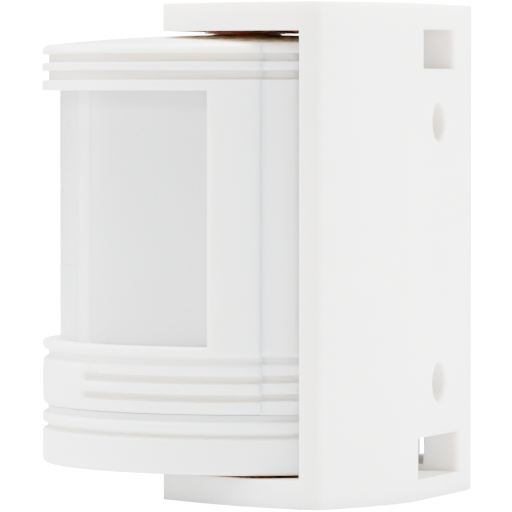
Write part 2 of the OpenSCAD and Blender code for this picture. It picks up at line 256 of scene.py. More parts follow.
def sector(name, profile, deg0, deg1, steps):
    """A closed profile spun from one angle to another, measured from straight ahead, with closed ends."""
    a = math.radians(deg0)
    piece = draw_loop(name, [(r * math.sin(a), -r * math.cos(a), z) for r, z in profile])
    turn = math.radians(deg1 - deg0)
    bpy.ops.mesh.spin(steps=steps, angle=-turn, center=(0, 0, 0), axis=(0, 0, 1))
    bpy.ops.mesh.select_all(action="SELECT")
    bpy.ops.mesh.fill_holes(sides=0)
    close_solid()
    return piece


def block(name, low, high):
    """A box between two corners."""
    deselect_all()
    low, high = Vector(low), Vector(high)
    bpy.ops.mesh.primitive_cube_add(size=1)
    piece = bpy.context.object
    piece.name = name
    to_edit()
    bpy.ops.transform.resize(value=high - low)
    bpy.ops.transform.translate(value=(low + high) / 2)
    to_object()
    return piece


def rod(name, centre, radius, length, axis="Z", sides=64):
    """A round bar whose base is at centre, along +axis."""
    deselect_all()
    turn = {"Z": (0, 0, 0), "Y": (-math.pi / 2, 0, 0)}[axis]
    along = {"Z": Vector((0, 0, 1)), "Y": Vector((0, 1, 0))}[axis]
    middle = Vector(centre) + along * length / 2
    size = {"vertices": sides, "radius": radius, "depth": length}
    bpy.ops.mesh.primitive_cylinder_add(location=middle, rotation=turn, **size)
    piece = bpy.context.object
    piece.name = name
    bpy.ops.object.transform_apply(location=True, rotation=True, scale=True)
    return piece


def select_edges(piece, wanted):
    """In edit mode, selects the edges whose two ends pass the test."""
    bpy.ops.mesh.select_mode(type="EDGE")
    bpy.ops.mesh.select_all(action="DESELECT")
    to_object()
    points = piece.data.vertices
    for edge in piece.data.edges:
        p, q = (points[i].co for i in edge.vertices)
        edge.select = bool(wanted(p, q))
    bpy.ops.object.mode_set(mode="EDIT")


def round_edges(piece, wanted, width, segments=4):
    make_active(piece)
    bpy.ops.object.mode_set(mode="EDIT")
    select_edges(piece, wanted)
    bpy.ops.mesh.bevel(offset=width, segments=segments, affect="EDGES", clamp_overlap=True)
    to_object()


def join_by(piece, other, operation):
    """Boolean of piece with other, which is then removed."""
    make_active(piece)
    step = piece.modifiers.new("shape", "BOOLEAN")
    step.operation = operation
    step.object = other
    step.solver = "EXACT"
    bpy.ops.object.modifier_apply(modifier=step.name)
    bpy.data.objects.remove(other)
    return piece


def cut(piece, other):
    return join_by(piece, other, "DIFFERENCE")


def keep(piece, other):
    return join_by(piece, other, "INTERSECT")


def add(piece, other):
    return join_by(piece, other, "UNION")


def soften(piece, width, segments=2, limit=38):
    """Small rounding on every edge that is sharper than limit, then smooth shading."""
    make_active(piece)
    bpy.ops.object.mode_set(mode="EDIT")
    bpy.ops.mesh.select_all(action="SELECT")
    bpy.ops.mesh.remove_doubles(threshold=0.000002)
    bpy.ops.mesh.dissolve_degenerate(threshold=0.000002)
    to_object()
    if width:
        edge = piece.modifiers.new("edge", "BEVEL")
        edge.limit_method = "ANGLE"
        edge.angle_limit = math.radians(limit)
        edge.width = width
        edge.segments = segments
        bpy.ops.object.modifier_apply(modifier=edge.name)
    bpy.ops.object.shade_smooth_by_angle(angle=math.radians(40))
    even = piece.modifiers.new("even", "WEIGHTED_NORMAL")
    even.keep_sharp = True
    bpy.ops.object.modifier_apply(modifier=even.name)


def arc_to(p, q, degrees, steps):
    """Points after p on an arc that turns left by the angle and ends at q."""
    p, q = Vector(p), Vector(q)
    d = q - p
    turn = math.radians(degrees)
    radius = d.length / (2 * math.sin(turn / 2))
    centre = (p + q) / 2 + Vector((-d.y, d.x)).normalized() * radius * math.cos(turn / 2)
    start = math.atan2(p.y - centre.y, p.x - centre.x)
    angles = [start + turn * i / steps for i in range(1, steps + 1)]
    return [tuple(centre + radius * Vector((math.cos(a), math.sin(a)))) for a in angles]


def flip(p):
    return (-p[0], p[1])


def corner(p, centre, radius, deg0, deg1, steps):
    """Points on an arc of a profile about centre."""
    found = []
    for i in range(steps + 1):
        a = math.radians(deg0 + (deg1 - deg0) * i / steps)
        found.append((centre[0] + radius * math.cos(a), centre[1] + radius * math.sin(a)))
    return p + found


# ---------------------------------------------------------------- bracket


def bracket_plan():
    rear = arc_to(flip(WALL_CORNER), flip(SIDE_REAR), 22, 14)
    left = arc_to(flip(SIDE_FRONT), flip(TIP_SIDE), 24, 16) + arc_to(flip(TIP_SIDE), flip(TIP_FRONT), 58, 8)
    front = arc_to(flip(TIP_FRONT), TIP_FRONT, 17, 20)
    right = arc_to(TIP_FRONT, TIP_SIDE, 58, 8) + arc_to(TIP_SIDE, SIDE_FRONT, 24, 16)
    last = arc_to(SIDE_REAR, WALL_CORNER, 22, 14)[:-1]
    left_half = [flip(WALL_CORNER)] + rear + [flip(SIDE_FRONT)] + left
    return [WALL_CORNER] + left_half + front + right + [SIDE_REAR] + last


def cavity_plan():
    """Space between the side walls, open to the front and, ahead of the walls, to both sides."""
    mouth = [(FAR, -FAR), (FAR, SIDE_FRONT[1]), (CAVITY_SHOULDER[0], SIDE_FRONT[1])]
    right = arc_to(CAVITY_SHOULDER, CAVITY_CORNER, 9, 6)
    left = arc_to(flip(CAVITY_CORNER), flip(CAVITY_SHOULDER), 9, 6)
    room = [CAVITY_SHOULDER] + right + [flip(CAVITY_CORNER)] + left
    return mouth + room + [flip(p) for p in reversed(mouth)]


def upright_at(spot, p, q):
    """True for an upright edge at a place of the plan, on either side."""
    flat = abs(p.x - q.x) < 1e-6 and abs(p.y - q.y) < 1e-6
    return flat and abs(abs(p.x) - spot[0]) < 2e-5 and abs(p.y - spot[1]) < 2e-5


def wall_slot(half, z0, z1):
    """Cutter for a rectangular hole in the rear wall, with upright edges well rounded at the wall face."""
    inner = half - 0.8 * SLOT_FLARE
    face = WALL_CORNER[1]
    middle = (inner + SLOT_FLARE, face - SLOT_FLARE)
    side = corner([(inner, CAVITY_BACK - OVER)], middle, SLOT_FLARE, 180, 90, 6)
    side.append((inner + SLOT_FLARE, face + OVER))
    return prism("slot", side + [flip(p) for p in reversed(side)], z0, z1)


def in_hole_rim(p, q):
    """Edges of the screw holes where they meet the wall face."""
    near = [min(math.hypot(v.x, v.z - z) for z in HOLE_Z) for v in (p, q)]
    level = min(p.y, q.y) > WALL_CORNER[1] - 2e-6
    return level and max(near) < HOLE_R + 0.0001


def make_bracket():
    """U-shaped bracket: two arms with pivot stubs, and walls with two screw holes and two slots."""
    piece = prism("bracket_shell", bracket_plan(), 0, BRACKET_H)
    round_edges(piece, lambda p, q: upright_at(WALL_CORNER, p, q), 0.0008, 5)
    round_edges(piece, lambda p, q: upright_at(SIDE_REAR, p, q), 0.0009, 5)
    cut(piece, prism("room", cavity_plan(), ARM_T, BRACKET_H - ARM_T))
    add(piece, rod("lower_stub", (0, 0, ARM_T - WELD), STUB_R, STUB_LEN + WELD))
    add(piece, rod("upper_stub", (0, 0, BRACKET_H - ARM_T - STUB_LEN), STUB_R, STUB_LEN + WELD))
    add(piece, rod("lower_boss", (0, 0, ARM_T - WELD), BOSS_R, BOSS_Z[0] - ARM_T + WELD))
    add(piece, rod("upper_boss", (0, 0, BOSS_Z[1]), BOSS_R, BRACKET_H - ARM_T - BOSS_Z[1] + WELD))
    for z in HOLE_Z:
        cut(piece, rod("hole", (0, CAVITY_BACK - OVER, z), HOLE_R - HOLE_FLARE / 2, HOLE_CUT, "Y", 72))
    cut(piece, wall_slot(*TOP_SLOT))
    cut(piece, wall_slot(*BOTTOM_SLOT))
    round_edges(piece, in_hole_rim, HOLE_FLARE, 5)
    soften(piece, 0.00018, 2, 34)
    return piece


# ---------------------------------------------------------------- head


def head_plan(inset):
    """Flat back and two slanted flats, moved in by inset, open to the front."""
    y = BACK_Y - inset
    d = SLANT_D - inset
    x_back = (d - y * math.cos(SLANT)) / math.sin(SLANT)
    x_side = (d - 0.006 * math.cos(SLANT)) / math.sin(SLANT)
    return [(x_back, y), (-x_back, y), (-x_side, 0.006), (-x_side, -FAR), (x_side, -FAR), (x_side, 0.006)]


def rib(z0, z1, radius):
    """Outer side of one rib from z0 up to z1, with rounded edges."""
    line = corner([], (HEAD_R - radius, z0 + radius), radius, -90, 0, 4)
    return corner(line, (HEAD_R - radius, z1 - radius), radius, 0, 90, 4)


def pad_side(lift):
    """Outer line of the band between the seam and the low groove, slightly proud in the middle."""
    z1 = LOW_GROOVE[0] + lift
    near = HEAD_R - 0.00003
    line = [(HEAD_R - 0.00048, SEAM_Z), (HEAD_R - 0.0001, SEAM_Z + 0.00042), (near, 0.0145), (HEAD_R, 0.0162)]
    return line + [(near, 0.0178), (HEAD_R - 0.00012, z1 - 0.0003), (HEAD_R - 0.0003, z1 + 0.00002)]


def outer_line(lift):
    """Outer line of the head from the seam to the middle of the crown."""
    deep = HEAD_R - LOW_DEPTH
    g0, g1 = LOW_GROOVE[0] + lift, LOW_GROOVE[1] + lift
    line = pad_side(lift) + [(deep, g0 + 0.00035), (deep, g1 - 0.00035), (HEAD_R - 0.0003, g1 - 0.00004)]
    line += [(HEAD_R - 0.00012, g1 + 0.00016), (HEAD_R - 0.00003, g1 + 0.0004), (HEAD_R, g1 + 0.0007)]
    line = corner(line, (HEAD_R - 0.0002, TOP_GROOVES[0][0] - 0.0002), 0.0002, 0, 90, 3)
    floor = HEAD_R - GROOVE_DEPTH
    for low, high in ((TOP_GROOVES[0], TOP_GROOVES[1][0]), (TOP_GROOVES[1], None)):
        line += [(floor, low[0]), (floor, low[1])]
        if high:
            line += rib(low[1], high, 0.00025)
    line = corner(line, (HEAD_R - 0.00025, TOP_GROOVES[1][1] + 0.00025), 0.00025, -90, 0, 3)
    line = corner(line, (HEAD_R - RIM_ROUND, RIM_Z - RIM_ROUND), RIM_ROUND, 0, 90, 8)
    for i in range(1, 10):
        r = (HEAD_R - RIM_ROUND) * (1 - i / 10) + 0.0038 * i / 10
        line.append((r, APEX_Z - CROWN_R + math.sqrt(CROWN_R**2 - r**2)))
    return line + [(0.0037, APEX_Z - 0.0001), (STUB_R + 0.00006, APEX_Z - 0.0003)]


def head_solid(name, lift, skirt):
    """Hollow D-shaped head; lift raises the lower grooves and skirt carries the side down past the seam."""
    line = outer_line(lift)
    if skirt:
        line = [(HEAD_R - 0.0004, HEAD_Z0), (HEAD_R, HEAD_Z0 + 0.0004)] + line[3:]
    bottom = line[0][1]
    hub = [(STUB_R + 0.00006, APEX_Z - HUB_DEPTH), (0, APEX_Z - HUB_DEPTH)]
    piece = turned(name, [(0, bottom)] + line + hub)
    keep(piece, prism("flats", head_plan(0), 0, FAR))
    hub_z = ROOF_Z - 0.001
    room = [(0, 0), (INNER_R, 0), (INNER_R, ROOF_Z), (HUB_R, ROOF_Z), (HUB_R, hub_z), (0, hub_z)]
    inside = turned("inside", room)
    keep(inside, prism("inner_flats", head_plan(BACK_T), -OVER, FAR))
    cut(piece, inside)
    return piece


def groove_cutter(z0, z1, deg0, deg1):
    """A groove of rounded section that runs out to nothing at its front end."""
    deep = HEAD_R - LOW_DEPTH
    out = HEAD_R + 0.0006
    shape = [(out, z0 - 0.00022), (HEAD_R, z0 + 0.0001), (deep + 0.00015, z0 + 0.0003), (deep, z0 + 0.0005)]
    shape += [(deep, z1 - 0.0004), (deep + 0.00015, z1 - 0.0002), (HEAD_R, z1), (out, z1 + 0.0002)]
    piece = sector("groove", shape, deg0, deg1, GROOVE_STEPS)
    start = deg0 if abs(deg0) < abs(deg1) else deg1

    def at_start(p, q):
        return all(abs(math.degrees(math.atan2(v.x, -v.y)) - start) < 0.05 for v in (p, q))

    make_active(piece)
    bpy.ops.object.mode_set(mode="EDIT")
    select_edges(piece, at_start)
    runout = (HEAD_R + 0.00002) / deep
    bpy.ops.transform.resize(value=(runout, runout, 1), center_override=(0, 0, 0))
    to_object()
    return piece


def cut_side_grooves(piece, lift, deg0, deg1):
    for z0, z1 in SIDE_GROOVES:
        cut(piece, groove_cutter(z0 + lift, z1 + lift, deg0, deg1))
        cut(piece, groove_cutter(z0 + lift, z1 + lift, -deg1, -deg0))


def window_cutter():
    r0, r1 = INNER_R - OVER, HEAD_R + OVER
    z0, z1 = WINDOW_Z
    shape = [(r0, z0), (r1, z0), (r1, z1), (r0, z1)]
    return sector("window", shape, -WINDOW_DEG, WINDOW_DEG, 80)


def at_window_sill(z):
    def test(p, q):
        level = abs(p.z - z) < 3e-6 and abs(q.z - z) < 3e-6
        outside = min(math.hypot(p.x, p.y), math.hypot(q.x, q.y)) > HEAD_R - 0.0001
        return level and outside

    return test


def add_bosses(piece):
    """Posts inside the shell for the screws of the base plate, each with its pilot hole."""
    for x, y in SCREW_BOSS_AT:
        add(piece, rod("boss", (x, y, SCREW_BOSS_Z), SCREW_BOSS_R, SCREW_BOSS_LEN, "Z", 40))
    for x, y in SCREW_BOSS_AT:
        cut(piece, rod("pilot", (x, y, PILOT_Z), PILOT_R, PILOT_LEN, "Z", 28))


def make_front_housing():
    """Front shell of the head, with the lens window, up to the parting line."""
    piece = head_solid("front_shell", 0, False)
    cut(piece, window_cutter())
    cut_side_grooves(piece, 0, PAD_DEG, FRONT_GROOVES_TO)
    add_bosses(piece)
    round_edges(piece, at_window_sill(WINDOW_Z[0]), 0.0005, 4)
    round_edges(piece, at_window_sill(WINDOW_Z[1]), 0.00022, 3)
    soften(piece, 0.0001, 2, 45)
    cut(piece, block("rear_half", (-FAR, SPLIT_Y - SPLIT_GAP, -OVER), (FAR, FAR, FAR)))
    soften(piece, 0)
    return piece


def flat_groove(z0, z1):
    """A groove across the flat back and the slanted flats."""
    ring = prism("flat_groove", head_plan(-OVER), z0, z1)
    return cut(ring, prism("flat_core", head_plan(GROOVE_DEPTH), z0 - OVER, z1 + OVER))


def tongue(name, r0, r1, y0, y1):
    """A curved strip on each side, between two radii and two distances behind the pan axis."""
    low, high = TONGUE_Z
    ring = turned(name, [(0, low), (r1, low), (r1, high), (0, high)], 96)
    cut(ring, turned("core", [(0, low - OVER), (r0, low - OVER), (r0, high + OVER), (0, high + OVER)], 96))
    return keep(ring, block("strip", (-FAR, y0, 0), (FAR, y1, FAR)))


def make_rear_cover():
    """Rear shell of the head, with the tongues that snap it to the front shell."""
    piece = head_solid("rear_shell", COVER_STEP, True)
    cut(piece, block("cap_room", (-FAR, -FAR, -OVER), (FAR, SHOULDER_Y, SEAM_Z)))
    cut_side_grooves(piece, COVER_STEP, *REAR_GROOVES)
    for z0, z1 in TOP_GROOVES:
        cut(piece, flat_groove(z0, z1))
    soften(piece, 0.0001, 2, 42)
    cut(piece, block("front_half", (-FAR, -FAR, -OVER), (FAR, SPLIT_Y + SPLIT_GAP, FAR)))
    add(piece, tongue("hook", TONGUE_IN, INNER_R - 0.00015, SPLIT_Y - 0.0035, SPLIT_Y + 0.001))
    add(piece, tongue("root", TONGUE_IN, INNER_R + 0.0005, SPLIT_Y + 0.0002, SPLIT_Y + 0.003))
    soften(piece, 0)
    return piece


def cap_line():
    """Outer line of the cap, from the middle of its floor up to the seam."""
    deep = CAP_GROOVE_R
    z0, z1 = CAP_GROOVE
    line = corner([(0, HEAD_Z0)], (HEAD_R - CAP_EDGE, HEAD_Z0 + CAP_EDGE), CAP_EDGE, -90, 0, 5)
    line += [(HEAD_R, z0 - 0.0002), (HEAD_R - 0.0001, z0 + 0.00002), (deep, z0 + 0.0004), (deep, z0 + 0.0006)]
    line += [(HEAD_R - 0.0001, z1 + 0.00002), (HEAD_R, z1 + 0.0002), (HEAD_R, 0.0113)]
    return line + [(HEAD_R - 0.00015, 0.0116), (CAP_LIP_R, 0.0119), (CAP_LIP_R, CAP_TOP), (0, CAP_TOP)]


def make_bottom_cap():
    """Tray that closes the bottom of the head, with two rails and room for the lower pivot hub."""
    piece = turned("cap_shell", cap_line())
    keep(piece, prism("flats", head_plan(0), 0, FAR))
    cut(piece, turned("tray", [(0, CAP_FLOOR), (CAP_WALL_R, CAP_FLOOR), (CAP_WALL_R, FAR), (0, FAR)]))
    cut(piece, block("open_back", (-FAR, SHOULDER_Y - CAP_BACK_GAP, -OVER), (FAR, FAR, FAR)))
    y0, y1 = GUIDE_Y
    for side in (-1, 1):
        x = side * GUIDE_X
        add(piece, block("guide", (x - 0.0007, y0, CAP_FLOOR - WELD), (x + 0.0007, y1, GUIDE_TOP)))
        x = side * LIP_X
        add(piece, block("lip", (x - 0.001, y0, LIP_Z[0]), (x + 0.0011, y1, LIP_Z[1])))
    room_r = HUB_R + HUB_GAP
    cut(piece, rod("hub_room", (0, 0, HEAD_Z0 - OVER), room_r, 0.0035, "Z", 72))
    cut(piece, block("hub_slot", (-room_r, 0, HEAD_Z0 - OVER), (room_r, FAR, HEAD_Z0 + 0.0025)))
    soften(piece, 0.0001, 2, 42)
    return piece


# ---------------------------------------------------------------- lens


def is_outer(face, reach):
    """True for a face on the outer side of the film."""
    out = Vector((face.center.x, face.center.y, 0)).normalized()
    return face.normal.dot(out) > 0.9 and math.hypot(face.center.x, face.center.y) > reach


def press_tile(piece, deg0, deg1, z0, z1):
    """Frames one lens segment with a fine line pressed into the outer side."""
    bpy.ops.mesh.select_mode(type="FACE")
    bpy.ops.mesh.select_all(action="DESELECT")
    to_object()
    for face in piece.data.polygons:
        angle = math.degrees(math.atan2(face.center.x, -face.center.y))
        inside = deg0 < angle < deg1 and z0 < face.center.z < z1
        face.select = inside and is_outer(face, LENS_R - 0.0001)
    bpy.ops.object.mode_set(mode="EDIT")
    bpy.ops.mesh.inset(thickness=0.00009, depth=-0.00006, use_even_offset=True)
    bpy.ops.mesh.inset(thickness=0.00009, depth=0.00007, use_even_offset=True)


def make_lens():
    """Curved film with three rows of framed segments and an upright strip on each side."""
    r0, r1 = LENS_R - LENS_T, LENS_R
    outer = [(r1, z) for z in (LENS_Z[0], *TILE_Z, LENS_Z[1])]
    piece = sector("lens_film", [(r0, LENS_Z[0])] + outer + [(r0, LENS_Z[1])], -LENS_DEG, LENS_DEG, 188)
    bpy.ops.object.mode_set(mode="EDIT")
    for row, count in enumerate(TILE_COUNT):
        width = 2 * TILE_DEG / count
        for i in range(count):
            deg0 = -TILE_DEG + i * width
            press_tile(piece, deg0, deg0 + width, TILE_Z[row], TILE_Z[row + 1])
    for side in (-1, 1):
        low, high = sorted((side * STRIP_DEG[0], side * STRIP_DEG[1]))
        press_tile(piece, low, high, TILE_Z[0], TILE_Z[-1])
    to_object()
    soften(piece, 0)
    return piece


# ---------------------------------------------------------------- wire parts


def wound(name, base, axis, radius, wire, pitch, turns):
    """A coil of round wire that starts at base and climbs along an axis."""
    deselect_all()
    tilt = (math.pi / 2, 0, 0) if axis == "Z" else (0, 0, 0)
    offset = Vector((radius, 0, 0)) if axis == "Z" else Vector((0, radius, 0))
    bpy.ops.mesh.primitive_circle_add(vertices=10, radius=wire / 2, location=offset, rotation=tilt)
    piece = bpy.context.object
    piece.name = name
    piece.data.name = name
    bpy.ops.object.transform_apply(location=True, rotation=True, scale=True)
    climb = piece.modifiers.new("climb", "SCREW")
    climb.axis = axis
    climb.angle = math.tau
    climb.screw_offset = pitch
    climb.iterations = turns
    climb.steps = TURN_STEPS
    climb.render_steps = TURN_STEPS
    climb.use_merge_vertices = True
    bpy.ops.object.modifier_apply(modifier=climb.name)
    bpy.ops.object.mode_set(mode="EDIT")
    bpy.ops.mesh.select_all(action="SELECT")
    bpy.ops.mesh.fill_holes(sides=0)
    bpy.ops.transform.translate(value=base)
    close_solid()
    bpy.ops.object.shade_smooth_by_angle(angle=math.radians(50))
    return piece


def make_antenna():
    """Wound aerial that stands on the radio module."""
    low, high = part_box("antenna_coil")
    middle = (low + high) / 2
    pitch = (high.z - low.z - COIL_WIRE) / COIL_TURNS
    base = (middle.x, middle.y, low.z + COIL_WIRE / 2)
    return wound("antenna_wire", base, "Z", COIL_R, COIL_WIRE, pitch, COIL_TURNS)


def make_cell_springs():
    """The sprung contact at the negative end of each cell."""
    low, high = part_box("cell_springs")
    half = SPRING_WIRE / 2
    pitch = (CONTACT_X - CELL_END - SPRING_WIRE) / SPRING_TURNS
    y = (low.y + high.y) / 2
    size = (SPRING_R, SPRING_WIRE, pitch, SPRING_TURNS)
    first = wound("spring_left", (-CONTACT_X + half, y, CELL_Z[1]), "X", *size)
    second = wound("spring_right", (CELL_END + half, y, CELL_Z[0]), "X", *size)
    make_active(first)
    second.select_set(True)
    bpy.ops.object.join()
    first.name = "spring_wires"
    first.data.name = "spring_wires"
    return first


# ---------------------------------------------------------------- stage


def make_camera():
    bpy.ops.object.camera_add()
    camera = bpy.context.object
    camera.name = "camera"
    azimuth, elevation = math.radians(VIEW_AZIMUTH), math.radians(VIEW_ELEVATION)
    flat = math.cos(elevation)
    back = Vector((math.sin(azimuth) * flat, -math.cos(azimuth) * flat, math.sin(elevation)))
    camera.location = Vector(VIEW_TARGET) + back * VIEW_DISTANCE
    camera.rotation_mode = "QUATERNION"
    camera.rotation_quaternion = (-back).to_track_quat("-Z", "Y")
    camera.data.lens = VIEW_LENS
    camera.data.sensor_width = 36
    camera.data.clip_start = 0.01
    camera.data.clip_end = 50
    bpy.context.scene.camera = camera


def soft_light(name, place, aim, size, power):
    bpy.ops.object.light_add(type="AREA", location=place)
    light = bpy.context.object
    light.name = name
    light.data.shape = "DISK"
    light.data.size = size
    light.data.energy = power
    light.rotation_mode = "QUATERNION"
    light.rotation_quaternion = (Vector(aim) - Vector(place)).to_track_quat("-Z", "Y")


def bright_to_camera(nodes, links, lit, seen):
    """A strength that is seen where the camera looks at it straight, and lit as a light."""
    path = nodes.new("ShaderNodeLightPath")
    ramp = nodes.new("ShaderNodeMapRange")
    ramp.inputs["To Min"].default_value = lit
    ramp.inputs["To Max"].default_value = seen
    links.new(path.outputs["Is Camera Ray"], ramp.inputs["Value"])
    return ramp.outputs["Result"]


def make_lights():
    soft_light("wall_side_light", (-0.30, 0.95, 0.40), LIGHT_TARGET, 0.40, 51)
    soft_light("lens_side_light", (0.70, -0.35, 0.75), LIGHT_TARGET, 0.35, 17)
    soft_light("top_light", (0.05, -0.15, 0.9), LIGHT_TARGET, 0.4, 44)
    soft_light("front_light", (0.10, -0.95, 0.30), LIGHT_TARGET, 0.5, 14)
    world = bpy.data.worlds.new("studio")
    bpy.context.scene.world = world
    world.use_nodes = True
    nodes, links = world.node_tree.nodes, world.node_tree.links
    sky = nodes["Background"]
    sky.inputs["Color"].default_value = (1, 1, 1, 1)
    links.new(bright_to_camera(nodes, links, SKY_LIT, SKY_SEEN), sky.inputs["Strength"])


def make_floor():
    deselect_all()
    bpy.ops.mesh.primitive_plane_add(size=8, location=(0, 0, -0.0002))
    floor = bpy.context.object
    floor.name = "floor"
    material, nodes, links, shader = new_material("pale_floor")
    shader.inputs["Base Color"].default_value = (0.8, 0.8, 0.8, 1)
    shader.inputs["Roughness"].default_value = 0.9
    shader.inputs["Specular IOR Level"].default_value = 0.1
    shader.inputs["Emission Color"].default_value = (1, 1, 1, 1)
    links.new(bright_to_camera(nodes, links, FLOOR_LIT, FLOOR_SEEN), shader.inputs["Emission Strength"])
    floor.data.materials.append(material)


# ---------------------------------------------------------------- materials


def new_material(name):
    material = bpy.data.materials.new(name)
    material.use_nodes = True
    tree = material.node_tree
    return material, tree.nodes, tree.links, tree.nodes["Principled BSDF"]


def noise(nodes, links, size, detail=3.0):
    """Noise on Object coordinates whose grains are about size across."""
    place = nodes.new("ShaderNodeTexCoord")
    grain = nodes.new("ShaderNodeTexNoise")
    grain.inputs["Scale"].default_value = 1 / size
    grain.inputs["Detail"].default_value = detail
    links.new(place.outputs["Object"], grain.inputs["Vector"])
    return grain.outputs["Fac"]


def spread(nodes, links, value, low, high):
    """Noise mapped to a range of a number."""
    ramp = nodes.new("ShaderNodeMapRange")
    ramp.inputs["From Min"].default_value = 0.3
    ramp.inputs["From Max"].default_value = 0.7
    ramp.inputs["To Min"].default_value = low
    ramp.inputs["To Max"].default_value = high
    links.new(value, ramp.inputs["Value"])
    return ramp.outputs["Result"]


def colours(nodes, links, value, low, high, start=0.3, end=0.7):
    """Noise mapped to a blend of two colours."""
    ramp = nodes.new("ShaderNodeValToRGB")
    ramp.color_ramp.elements[0].position = start
    ramp.color_ramp.elements[1].position = end
    ramp.color_ramp.elements[0].color = (*low, 1)
    ramp.color_ramp.elements[1].color = (*high, 1)
    links.new(value, ramp.inputs["Fac"])
    return ramp.outputs["Color"]


def bump(nodes, links, shader, height, depth, strength=1.0):
    relief = nodes.new("ShaderNodeBump")
    relief.inputs["Strength"].default_value = strength
    relief.inputs["Distance"].default_value = depth
    links.new(height, relief.inputs["Height"])
    links.new(relief.outputs["Normal"], shader.inputs["Normal"])


def paint_crevice_shade(nodes, links, colour, shade_tint):
    """Painted shade: the colour turns warmer and darker where the surface is closed in, in place of shadow in
    crevices and gaps.
    """
    near = nodes.new("ShaderNodeAmbientOcclusion")
    near.inputs["Distance"].default_value = CREVICE_SHADE_REACH
    near.samples = 8
    shade = colours(nodes, links, near.outputs["AO"], shade_tint, (1, 1, 1), 0.05, 0.75)
    mix = nodes.new("ShaderNodeMix")
    mix.data_type = "RGBA"
    mix.blend_type = "MULTIPLY"
    mix.inputs["Factor"].default_value = 1.0
    links.new(colour, mix.inputs["A"])
    links.new(shade, mix.inputs["B"])
    return mix.outputs["Result"]


def moulded(name, low, high, rough=(0.35, 0.45), grain=0.00012, depth=0.000004, depth_share=0.0, shade_tint=None):
    """Moulded plastic: cloudiness, uneven gloss and mould grain; depth_share of the light passes through it. A
    given shade colour darkens crevices and gaps as painted shade.
    """
    material, nodes, links, shader = new_material(name)
    colour = colours(nodes, links, noise(nodes, links, 0.012), low, high)
    if shade_tint:
        colour = paint_crevice_shade(nodes, links, colour, shade_tint)
    links.new(colour, shader.inputs["Base Color"])
    links.new(spread(nodes, links, noise(nodes, links, 0.0015), *rough), shader.inputs["Roughness"])
    bump(nodes, links, shader, noise(nodes, links, grain, 2.0), depth)
    if depth_share:
        shader.inputs["Subsurface Weight"].default_value = depth_share
        shader.inputs["Subsurface Radius"].default_value = PLASTIC_DEPTH
        shader.inputs["Subsurface Scale"].default_value = 1.0
    return material


def metal(name, low, high, rough=(0.22, 0.36), grain=0.0003):
    """Plated metal with fine uneven polish."""
    material, nodes, links, shader = new_material(name)
    shader.inputs["Metallic"].default_value = 1.0
    links.new(colours(nodes, links, noise(nodes, links, 0.002), low, high), shader.inputs["Base Color"])
    links.new(spread(nodes, links, noise(nodes, links, grain), *rough), shader.inputs["Roughness"])
    bump(nodes, links, shader, noise(nodes, links, grain, 2.0), 0.000003)
    return material


def math_node(nodes, links, operation, a, b=None):
    step = nodes.new("ShaderNodeMath")
    step.operation = operation
    for socket, value in zip(step.inputs, (a, b)):
        if isinstance(value, (int, float)):
            socket.default_value = value
        elif value is not None:
            links.new(value, socket)
    return step.outputs["Value"]


def lens_angle(nodes, links):
    """Degrees from straight ahead, the same on both sides."""
    place = nodes.new("ShaderNodeTexCoord")
    split = nodes.new("ShaderNodeSeparateXYZ")
    links.new(place.outputs["Object"], split.inputs["Vector"])
    ahead = math_node(nodes, links, "MULTIPLY", split.outputs["Y"], -1.0)
    side = math_node(nodes, links, "ABSOLUTE", split.outputs["X"])
    turn = math_node(nodes, links, "ARCTAN2", side, ahead)
    return math_node(nodes, links, "MULTIPLY", turn, math.degrees(1)), split.outputs["Z"]


def ring_grooves(nodes, links, angle, height):
    """Fine rings round the middle of each lens segment, faded out past the segments."""
    across = math_node(nodes, links, "PINGPONG", angle, 9.0)
    across = math_node(nodes, links, "MULTIPLY", across, math.radians(1) * LENS_R)
    up = math_node(nodes, links, "PINGPONG", math_node(nodes, links, "SUBTRACT", height, TILE_Z[1]), 0.0055)
    across = math_node(nodes, links, "POWER", across, 2.0)
    up = math_node(nodes, links, "POWER", up, 2.0)
    away = math_node(nodes, links, "SQRT", math_node(nodes, links, "ADD", across, up))
    wave = math_node(nodes, links, "SINE", math_node(nodes, links, "MULTIPLY", away, math.tau / 0.0005))
    active = math_node(nodes, links, "LESS_THAN", angle, STRIP_DEG[0])
    return math_node(nodes, links, "MULTIPLY", wave, active)


def lens_milk():
    """Milky film: ringed segments ahead, an upright strip with a painted highlight, then a plain darker side.
    """
    material, nodes, links, shader = new_material("lens_film")
    angle, height = lens_angle(nodes, links)
    share = math_node(nodes, links, "DIVIDE", angle, LENS_TONE_SPAN)
    bands = nodes.new("ShaderNodeValToRGB")
    ramp = bands.color_ramp
    for deg, _ in LENS_TONES_AND_STRIP_HIGHLIGHT[1:-1]:
        ramp.elements.new(deg / LENS_TONE_SPAN)
    for element, (deg, tone) in zip(ramp.elements, LENS_TONES_AND_STRIP_HIGHLIGHT):
        element.position = deg / LENS_TONE_SPAN
        element.color = (*tone, 1)
    links.new(share, bands.inputs["Fac"])
    cloud = colours(nodes, links, noise(nodes, links, 0.006), (0.97, 0.97, 0.97), (1, 1, 1))
    mix = nodes.new("ShaderNodeMix")
    mix.data_type = "RGBA"
    mix.blend_type = "MULTIPLY"
    mix.inputs["Factor"].default_value = 1.0
    links.new(bands.outputs["Color"], mix.inputs["A"])
    links.new(cloud, mix.inputs["B"])
    links.new(mix.outputs["Result"], shader.inputs["Base Color"])
    links.new(spread(nodes, links, noise(nodes, links, 0.0008), 0.20, 0.28), shader.inputs["Roughness"])
    bump(nodes, links, shader, ring_grooves(nodes, links, angle, height), 0.000006)
    shader.inputs["Subsurface Weight"].default_value = 0.35
    shader.inputs["Subsurface Radius"].default_value = (0.001, 0.001, 0.0012)
    return material


